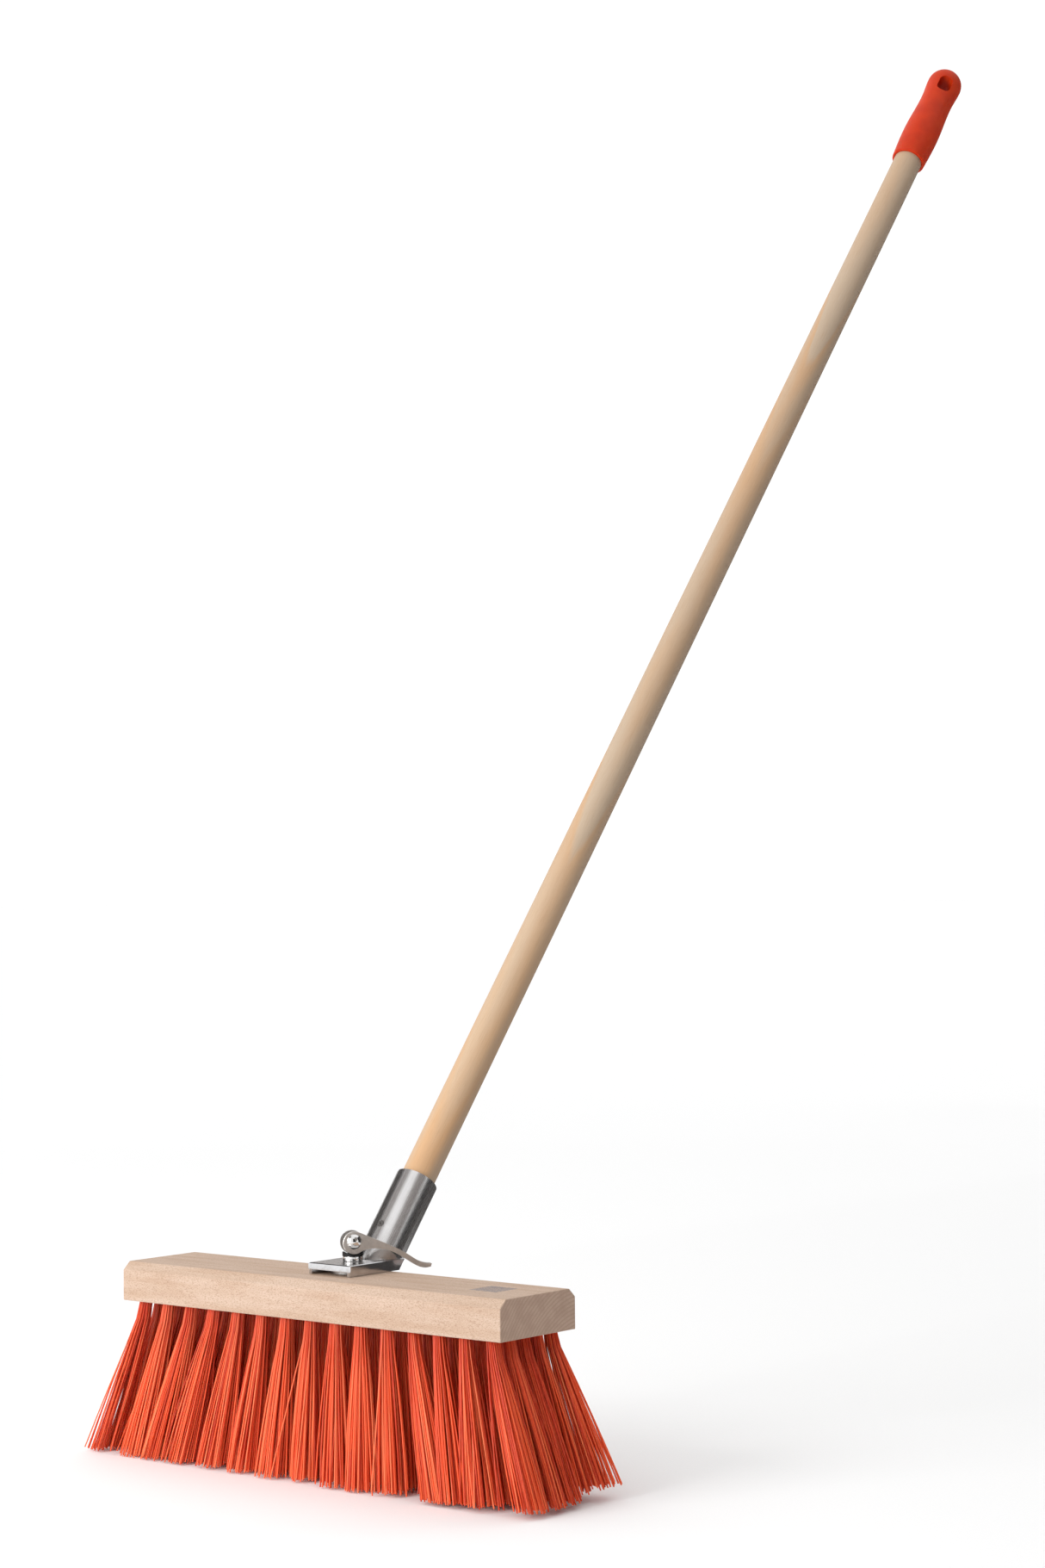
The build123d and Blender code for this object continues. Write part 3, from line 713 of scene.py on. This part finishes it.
@dataclass
class Strands:
    """The tufts: bundles of filament, each fanned from its hole to its own place in the sweep."""

    SHADE = "strand_shade"
    RUN = "strand_run"

    columns: int = 15
    rows: int = 5
    end_inset: float = 18 * MM
    edge_inset: float = 11.5 * MM
    strands: int = 72
    radius: float = 0.6 * MM
    sides: int = 5
    lengths: int = 5
    root_radius: float = 4.1 * MM
    sunk: float = 12 * MM
    fan: float = 3.3
    end_splay: float = math.radians(19)
    edge_splay: float = math.radians(5)
    wander: float = 1.3 * MM
    stray: float = 8 * MM
    stray_share: float = 0.1
    bloom: float = 1.0 * MM
    room: float = 4 * MM
    # painted shade: how much darker the tufts towards the right-hand end are made, away from the key light
    painted_right_shade: float = 0.24
    tones: float = 0.3
    lean_jitter: tuple[float, float] = (0.034, 0.016)
    fan_spread: tuple[float, float] = (0.85, 1.15)
    tuft_trim: float = 1.2 * MM
    strand_trim: tuple[float, float] = (0.9, 1.1)
    bow: float = 0.5 * MM
    seed: int = 41
    finish: FilamentFinish = FilamentFinish(
        name="filament", colour=(0.98, 0.125, 0.034), light=(1.0, 0.22, 0.09), deep=(0.46, 0.018, 0.004)
    )

    def build(self) -> None:
        """Make one piece to a row of tufts."""
        chance = random.Random(self.seed)
        material = self.finish.material()
        for row in range(self.rows):
            bm = bmesh.new()
            shade, run = (bm.verts.layers.float.new(name) for name in (self.SHADE, self.RUN))
            pattern = self.blank(bm)
            for column in range(self.columns):
                self.tuft(bm, pattern, column, row, (shade, run), chance)
            spare = [item for item in pattern if isinstance(item, bmesh.types.BMVert)]
            bmesh.ops.delete(bm, geom=spare, context="VERTS")
            node = f"tuft_row_{row + 1}"
            as_piece(bm, f"filaments_{row + 1}", Body.HEAD, (material,), (node,), math.radians(80))

    def blank(self, bm: bmesh.types.BMesh) -> list[bmesh.types.BMElem]:
        """Make the strand that all are copied from: a thin stick one unit long, cut into lengths."""
        bmesh.ops.create_cone(
            bm, cap_ends=True, cap_tris=False, segments=self.sides, radius1=self.radius, radius2=self.radius,
            depth=1.0, matrix=Matrix.Translation((0, 0, 0.5)),
        )
        sides = [edge for edge in bm.edges if abs(edge.verts[0].co.z - edge.verts[1].co.z) > 0.5]
        bmesh.ops.subdivide_edges(bm, edges=sides, cuts=self.lengths - 1, use_grid_fill=True)
        return [*bm.verts, *bm.edges, *bm.faces]

    def tuft(
        self,
        bm: bmesh.types.BMesh,
        pattern: list[bmesh.types.BMElem],
        column: int,
        row: int,
        layers: tuple,
        chance: random.Random,
    ) -> None:
        """Fill one hole with strands.

        Args:
            bm: the row's mesh.
            pattern: the strand to copy.
            column: the hole's place along the block.
            row: the hole's place across it.
            layers: the strands' shade and run values.
            chance: the seeded source of all variation.
        """
        low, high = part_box("brush_block")
        across = 2 * column / (self.columns - 1) - 1
        back = 2 * row / (self.rows - 1) - 1
        root = Vector((
            across * (high.x - self.end_inset), back * (high.y - self.edge_inset), low.z
        ))
        lean = Vector((
            math.tan(self.end_splay) * across + chance.gauss(0, self.lean_jitter[0]),
            math.tan(self.edge_splay) * back + chance.gauss(0, self.lean_jitter[1]), -1.0,
        ))
        fan = self.fan * chance.uniform(*self.fan_spread)
        trim = self.trimmed(across, back) + chance.uniform(0.0, self.tuft_trim)
        # painted shade: the tufts towards the right-hand end get a darker tone
        tone = chance.gauss(0.5, 0.06) - self.painted_right_shade * max(0.0, across) ** 2
        turn = chance.uniform(0, math.tau)
        for index in range(self.strands):
            spread = math.sqrt((index + 0.5) / self.strands)
            angle = turn + index * math.pi * (3 - math.sqrt(5))
            ray = Vector((math.cos(angle), math.sin(angle), 0))
            start = root + ray * spread * self.root_radius
            wander = self.stray if chance.random() < self.stray_share else self.wander
            height = low.z - trim - max(0.0, chance.gauss(*self.strand_trim)) * MM
            end = (
                root + lean * height + ray * spread * self.root_radius * fan
                + Vector((chance.gauss(0, wander), chance.gauss(0, wander), 0))
            )
            for axis in (0, 1):
                end[axis] = min(max(end[axis], CAD_BOX[0][axis] - self.room), CAD_BOX[1][axis] + self.room)
            bow = Vector((chance.gauss(0, self.bow), chance.gauss(0, self.bow), 0))
            bow += ray * spread * self.bloom
            own_tone = min(1.0, max(0.0, chance.gauss(tone, self.tones)))
            self.strand(bm, pattern, start, end, bow, layers, own_tone)

    def strand(
        self,
        bm: bmesh.types.BMesh,
        pattern: list[bmesh.types.BMElem],
        start: Vector,
        end: Vector,
        bow: Vector,
        layers: tuple,
        tone: float,
    ) -> None:
        """Copy one strand from its root up in the block to its cut end.

        Args:
            bm: the row's mesh.
            pattern: the strand to copy.
            start: where it leaves the block.
            end: its cut end.
            bow: how far its middle stands out of line.
            layers: the strands' shade and run values.
            tone: its tone, 0 to 1, darker on the right-hand tufts as painted shade.
        """
        shade, run = layers
        sunk = self.sunk / (start.z - end.z)
        for vert in bmesh.ops.duplicate(bm, geom=pattern)["geom"]:
            if not isinstance(vert, bmesh.types.BMVert):
                continue
            share = vert.co.z * (1 + sunk) - sunk
            offset = Vector((vert.co.x, vert.co.y, 0))
            if share < 0:
                centre = start + Vector((0, 0, -share * (start.z - end.z)))
            else:
                centre = start.lerp(end, share) + bow * (4 * share * (1 - share))
            vert.co = centre + offset
            vert[shade], vert[run] = tone, max(0.0, share)

    @staticmethod
    def trimmed(across: float, back: float) -> float:
        """How far above the sweeping plane a tuft is cut: most at the far right corner."""
        right = max(0.0, across)
        return (0.5 * (1 + across) + 2.5 * right * right + 6.5 * right * max(0.0, back)) * MM


@dataclass
class Swivel:
    """The round plate on the block with its screws, the nut below it and the tufts' anchors."""

    edge: float = 0.4 * MM
    plate: MetalFinish = MetalFinish(
        name="plain_steel_plate", colour=(0.58, 0.57, 0.56), dull=(0.42, 0.41, 0.40), smooth=0.22, rough=0.42,
        scratch=(0.4 * MM, 5 * MM, 0.4 * MM),
    )
    zinc: MetalFinish = MetalFinish(
        name="zinc_screws", colour=(0.78, 0.78, 0.77), dull=(0.60, 0.59, 0.57), smooth=0.12, rough=0.3,
        scratch=(0.6 * MM, 0.6 * MM, 0.6 * MM),
    )

    def build(self) -> None:
        """Make the plate and its screws, and dress the hidden steel."""
        plate, zinc = self.plate.material(), self.zinc.material()
        bm = merged_copy("swivel_plate")
        ease(bm, sharp_edges(bm, SHARP), self.edge)
        as_piece(bm, "swivel_disc", Body.HEAD, (plate,), ("swivel_plate",))
        for node in ("swivel_plate_screws", "clamp_nut", "tuft_anchors"):
            dress(node, zinc)


# ------------------------------------------------------------------ handle


@dataclass
class HandleLine:
    """The handle's axis: from its foot on the block's top, leaning back."""

    lean: float = math.radians(51.8)
    foot: Vector = field(default_factory=lambda: Vector((0.0, 39.302 * MM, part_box("brush_block")[1].z)))

    @property
    def direction(self) -> Vector:
        """Unit vector up the handle."""
        return Vector((0.0, math.cos(self.lean), math.sin(self.lean)))

    @property
    def turn(self) -> tuple[float, float, float]:
        """The handle's turn from upright, as Euler angles."""
        return (self.lean - math.pi / 2, 0.0, 0.0)

    @property
    def matrix(self) -> Matrix:
        """Place of a shape that is modelled upright from the foot."""
        return Matrix.Translation(self.foot) @ Matrix.Rotation(self.turn[0], 4, "X")


@dataclass
class Socket:
    """The rolled tube with its foot plate, and the screw through it."""

    line: HandleLine
    edge: float = 0.35 * MM
    foot_top: float = 9 * MM
    tube_radius: float = 17.3 * MM

    def build(self) -> None:
        """Make the socket and its screw."""
        turn = self.line.turn
        tube = MetalFinish(
            name="drawn_tube", colour=(0.76, 0.75, 0.75), dull=(0.62, 0.605, 0.60), smooth=0.2, rough=0.3,
            scratch=(0.35 * MM, 0.35 * MM, 40 * MM), turn=turn, smear=40 * MM, relief=0.004 * MM,
        ).material()
        foot = MetalFinish(
            name="polished_foot", colour=(0.58, 0.58, 0.59), dull=(0.46, 0.45, 0.45), smooth=0.06, rough=0.2,
            scratch=(3 * MM, 12 * MM, 3 * MM), relief=0.003 * MM,
        ).material()
        bm = merged_copy("handle_socket")
        ease(bm, sharp_edges(bm, SHARP), self.edge)
        top = self.line.foot.z + self.foot_top
        for face in bm.faces:
            centre = face.calc_center_median()
            from_foot = centre - self.line.foot
            off_axis = (from_foot - self.line.direction * from_foot.dot(self.line.direction)).length
            is_foot = centre.z < top + 0.2 * MM and off_axis > self.tube_radius + 0.1 * MM
            face.material_index = int(is_foot)
        as_piece(bm, "socket", Body.HANDLE, (tube, foot), ("handle_socket",))
        screw = MetalFinish(
            name="socket_screw_head", colour=(0.34, 0.33, 0.32), dull=(0.20, 0.19, 0.185),
            smooth=0.2, rough=0.4, scratch=(0.4 * MM, 0.4 * MM, 0.4 * MM),
        ).material()
        dress("socket_screw", screw)


@dataclass
class Pole:
    """The turned pole, with the slight unevenness of a dowel."""

    line: HandleLine
    start: float = 13 * MM
    length: float = 1380 * MM
    radius: float = 14 * MM
    edge: float = 1 * MM
    sides: int = 48
    rings: int = 150
    waver: float = 0.12 * MM
    slack: float = 0.04 * MM
    facing: float = math.radians(39.6)
    layers: tuple[tuple[float, float], ...] = LAYERS

    def build(self) -> None:
        """Make the pole."""
        bm = bmesh.new()
        bmesh.ops.create_cone(
            bm, cap_ends=True, cap_tris=False, segments=self.sides, radius1=self.radius, radius2=self.radius,
            depth=self.length, matrix=Matrix.Translation((0, 0, self.start + self.length / 2)),
        )
        rims = [edge for edge in bm.edges if abs(edge.verts[0].co.z - edge.verts[1].co.z) < 1e-6]
        ease(bm, rims, self.edge)
        runs = [edge for edge in bm.edges if edge.calc_length() > self.length / 2]
        bmesh.ops.subdivide_edges(bm, edges=runs, cuts=self.rings, use_grid_fill=True)
        for vert in bm.verts:
            out = Vector((vert.co.x, vert.co.y, 0))
            if out.length > self.radius / 2:
                sway = noise.noise(Vector((vert.co.x * 60, vert.co.y * 60, vert.co.z * 9)))
                vert.co += out.normalized() * (self.waver * 0.5 * (sway - 1) - self.slack)
        bmesh.ops.transform(bm, matrix=self.line.matrix, verts=bm.verts)
        finish = WoodFinish(
            name="pine_pole", pale=(0.57, 0.465, 0.35), warm=(0.66, 0.39, 0.20), fleck=(0.38, 0.21, 0.10),
            grain=Grain.ALONG_Z, ring_width=5.5 * MM, pith=tuple(self.line.foot), turn=self.line.turn,
            ring_mix=0.12, ring_waver=2.2, fleck_size=(22 * MM, 0.5 * MM), fleck_mix=0.18,
            stain_length=260 * MM, roughness=0.5, relief=0.012 * MM,
            figure=Figure(self.layers, self.facing),
        )
        as_piece(bm, "pole", Body.HANDLE, (finish.material(),), ("handle_pole",))


@dataclass
class Grip:
    """The moulded end cap with its hanging hole."""

    line: HandleLine
    edge: float = 0.8 * MM

    def build(self) -> None:
        """Make the grip."""
        bm = merged_copy("end_grip")
        ease(bm, sharp_edges(bm, SHARP), self.edge, 3)
        finish = PlasticFinish(
            name="moulded_grip", colour=(0.60, 0.038, 0.0025), deep=(0.48, 0.024, 0.0015), grain=0.6 * MM,
            smooth=0.45, rough=0.58, rib=2.2 * MM, rib_turn=self.line.turn, relief=0.006 * MM, glow=0.5,
        )
        as_piece(bm, "grip", Body.HANDLE, (finish.material(),), ("end_grip",))


# ------------------------------------------------------------------ clamp


@dataclass
class Clamp:
    """The cam clamp: stud, collar, cupped washer, lever and its domed pin."""

    satin: MetalFinish = MetalFinish(
        name="tumbled_lever", colour=(0.64, 0.605, 0.575), dull=(0.50, 0.47, 0.445), smooth=0.3, rough=0.48,
        scratch=(0.5 * MM, 0.5 * MM, 0.5 * MM), smear=7 * MM, relief=0.02 * MM,
    )
    chrome: MetalFinish = MetalFinish(
        name="chrome", colour=(0.80, 0.79, 0.78), dull=(0.66, 0.65, 0.64), smooth=0.035, rough=0.1,
        scratch=(1.2 * MM, 1.2 * MM, 1.2 * MM), relief=0.001 * MM,
    )
    washer: PlasticFinish = PlasticFinish(
        name="black_washer", colour=(0.018, 0.017, 0.016), deep=(0.008, 0.008, 0.008), grain=0.3 * MM,
        smooth=0.35, rough=0.5,
    )

    def build(self) -> None:
        """Make the clamp's pieces."""
        satin, chrome, washer = self.satin.material(), self.chrome.material(), self.washer.material()
        for node, name, body, slot, finish, edge in (
            ("cam_lever", "lever", Body.LEVER, "satin_steel", satin, 0.5 * MM),
            ("spacer_collar", "collar", Body.CLAMP, "chrome", chrome, 0.0),
            ("cam_washer", "cupped_washer", Body.CLAMP, "black_plastic", washer, 0.25 * MM),
            ("clamp_stud", "stud", Body.CLAMP, "bright_steel", chrome, 0.25 * MM),
            ("lever_pin", "pin_dome", Body.LEVER, "chrome", chrome, 0.0),
            ("lever_pin_cap", "pin_cap", Body.LEVER, "chrome", chrome, 0.0),
        ):
            bm = merged_copy(node)
            if edge:
                ease(bm, sharp_edges(bm, SHARP), edge)
            as_piece(bm, name, body, (finish,), (node,))


# ------------------------------------------------------------------ studio


@dataclass(frozen=True)
class Flag:
    """A plain cloth out of the camera's sight."""

    name: str
    place: tuple[float, float, float]
    target: tuple[float, float, float]
    size: tuple[float, float]
    grey: float = 0.035
    use: Cloth = Cloth.BOTH


@dataclass
class Studio:
    """A white floor under an even sky, one large key light, cloths and the camera."""

    DARK_WEAVE = (0.75, 0.68, 0.64)
    LIGHT_WEAVE = (1.35, 1.25, 1.2)
    CENTRE = (0.0, 0.1, 0.5)

    camera_place: tuple[float, float, float] = (1.65457, -1.77273, 0.45888)
    heading: float = -0.690674
    tilt: float = 0.032403
    roll: float = -0.009210
    lens: float = 70.70
    floor_size: float = 60.0
    sky_strength: float = 1.06
    cloths: tuple[Flag, ...] = (
        Flag("backdrop_cloth_front", (2.9, -1.8, 1.2), (0.0, 0.0, 0.6), (2.6, 3.2)),
        Flag("backdrop_cloth_right", (2.75, 1.35, 1.2), (0.0, 0.1, 0.6), (2.9, 3.2), use=Cloth.SHADE),
        Flag("backdrop_cloth_side", (2.32, 2.1, 1.2), CENTRE, (2.75, 3.2), 0.07, Cloth.SHINE),
        Flag("backdrop_cloth_rear", (0.4, 3.2, 1.1), CENTRE, (4.4, 2.6), 0.07, Cloth.SHINE),
        Flag("backdrop_cloth_left", (-2.7, 0.0, 1.2), CENTRE, (2.9, 3.2), 0.07, Cloth.SHINE),
        Flag("backdrop_cloth_low", (1.0, 2.0, 0.02), (1.0, 2.0, -1.0), (3.6, 3.0), 0.07, Cloth.SHINE),
        Flag("backdrop_cloth_over", (-1.25, -1.5, 2.6), (0.0, 0.1, 0.2), (1.9, 1.5), 0.25, Cloth.SHINE),
        Flag("backdrop_cloth_high", (2.5, -0.33, 1.88), (0.0, 0.1, 0.25), (2.0, 2.3), 0.25, Cloth.SHINE),
        Flag("backdrop_cloth_back", (-1.9, 2.3, 0.5), (0.0, 0.1, 0.3), (1.6, 1.1), 0.3, Cloth.SHINE),
    )

    def build(self) -> None:
        """Set up the floor, the lights and the camera."""
        scene = bpy.context.scene
        scene.view_settings.view_transform = "Standard"
        self.floor()
        self.sky()
        self.light("key", (-0.6, -2.6, 1.2), (0.0, 0.1, 0.3), (1.5, 1.7), 51.0)
        for cloth in self.cloths:
            self.flag(cloth)
        scene.camera = self.camera()

    def floor(self) -> None:
        """Lay the pale floor."""
        bm = bmesh.new()
        bmesh.ops.create_grid(bm, x_segments=1, y_segments=1, size=self.floor_size)
        mesh = bpy.data.meshes.new("floor")
        bm.to_mesh(mesh)
        bm.free()
        recipe = Recipe("floor_paper")
        tooth = recipe.noise(recipe.place, 500.0, 2.0)
        recipe.relief(tooth, 0.05 * MM)
        white = recipe.blend(recipe.range(tooth, 0.3, 0.7), (0.96, 0.96, 0.96), (0.94, 0.94, 0.94))
        recipe.wire(recipe.shader, Base_Color=white, Roughness=0.9, Specular_IOR_Level=0.1)
        mesh.materials.append(recipe.material)
        floor = bpy.data.objects.new("floor", mesh)
        bpy.context.scene.collection.objects.link(floor)

    def sky(self) -> None:
        """Fill the room with even white light."""
        world = bpy.data.worlds.new("studio")
        world.use_nodes = True
        backdrop = world.node_tree.nodes["Background"]
        backdrop.inputs["Color"].default_value = (1.0, 1.0, 1.0, 1.0)
        backdrop.inputs["Strength"].default_value = self.sky_strength
        bpy.context.scene.world = world

    @staticmethod
    def aimed(place: Sequence[float], target: Sequence[float]) -> Matrix:
        """Place something so that its -Z axis looks at a target."""
        look = Vector(target) - Vector(place)
        return Matrix.Translation(place) @ look.to_track_quat("-Z", "Y").to_matrix().to_4x4()

    def light(
        self,
        name: str,
        place: Sequence[float],
        target: Sequence[float],
        size: tuple[float, float],
        power: float,
    ) -> None:
        """Hang a soft light.

        Args:
            name: the light's name.
            place: its centre.
            target: what it faces.
            size: its width and height.
            power: its power in watts.
        """
        lamp = bpy.data.lights.new(name, "AREA")
        lamp.shape, lamp.size, lamp.size_y, lamp.energy = "RECTANGLE", size[0], size[1], power
        holder = bpy.data.objects.new(name, lamp)
        holder.matrix_world = self.aimed(place, target)
        bpy.context.scene.collection.objects.link(holder)

    def flag(self, cloth: Flag) -> None:
        """Stand one cloth.

        Args:
            cloth: what it is like and where it stands.
        """
        bm = bmesh.new()
        bmesh.ops.create_grid(bm, x_segments=1, y_segments=1, size=0.5)
        bmesh.ops.scale(bm, vec=(*cloth.size, 1), verts=bm.verts)
        bmesh.ops.transform(bm, matrix=self.aimed(cloth.place, cloth.target), verts=bm.verts)
        mesh = bpy.data.meshes.new(cloth.name)
        bm.to_mesh(mesh)
        bm.free()
        recipe = Recipe(cloth.name)
        weave = recipe.noise(recipe.place, 700.0, 1.0)
        dark = tuple(part * cloth.grey for part in self.DARK_WEAVE)
        light = tuple(part * cloth.grey for part in self.LIGHT_WEAVE)
        recipe.wire(
            recipe.shader, Base_Color=recipe.blend(weave, dark, light), Roughness=0.95, Specular_IOR_Level=0.1
        )
        mesh.materials.append(recipe.material)
        hung = bpy.data.objects.new(cloth.name, mesh)
        bpy.context.scene.collection.objects.link(hung)
        hung.visible_camera = False
        hung.visible_diffuse = hung.visible_shadow = cloth.use is not Cloth.SHINE
        hung.visible_glossy = cloth.use is not Cloth.SHADE

    def camera(self) -> bpy.types.Object:
        """Place the camera.

        Returns:
            The camera's object.
        """
        lens = bpy.data.cameras.new("camera")
        lens.lens, lens.sensor_width, lens.clip_end = self.lens, 36.0, 200.0
        level_out = math.cos(self.tilt)
        forward = Vector((
            math.sin(self.heading) * level_out, math.cos(self.heading) * level_out, math.sin(self.tilt)
        ))
        level = Vector((math.cos(self.heading), -math.sin(self.heading), 0))
        down = forward.cross(level)
        right = level * math.cos(self.roll) - down * math.sin(self.roll)
        up = -(level * math.sin(self.roll) + down * math.cos(self.roll))
        turn = Matrix((right, up, -forward)).transposed().to_4x4()
        holder = bpy.data.objects.new("camera", lens)
        holder.matrix_world = Matrix.Translation(self.camera_place) @ turn
        bpy.context.scene.collection.objects.link(holder)
        return holder


def main() -> None:
    """Build the broom's sub-assemblies in order, then the studio round it."""
    logging.basicConfig(level=logging.INFO, format="%(message)s")
    line = HandleLine()
    for part in (Block(), Strands(), Swivel(), Socket(line), Pole(line), Grip(line), Clamp(), Studio()):
        LOG.info("building %s", type(part).__name__)
        part.build()


if __name__ == "__main__":
    main()
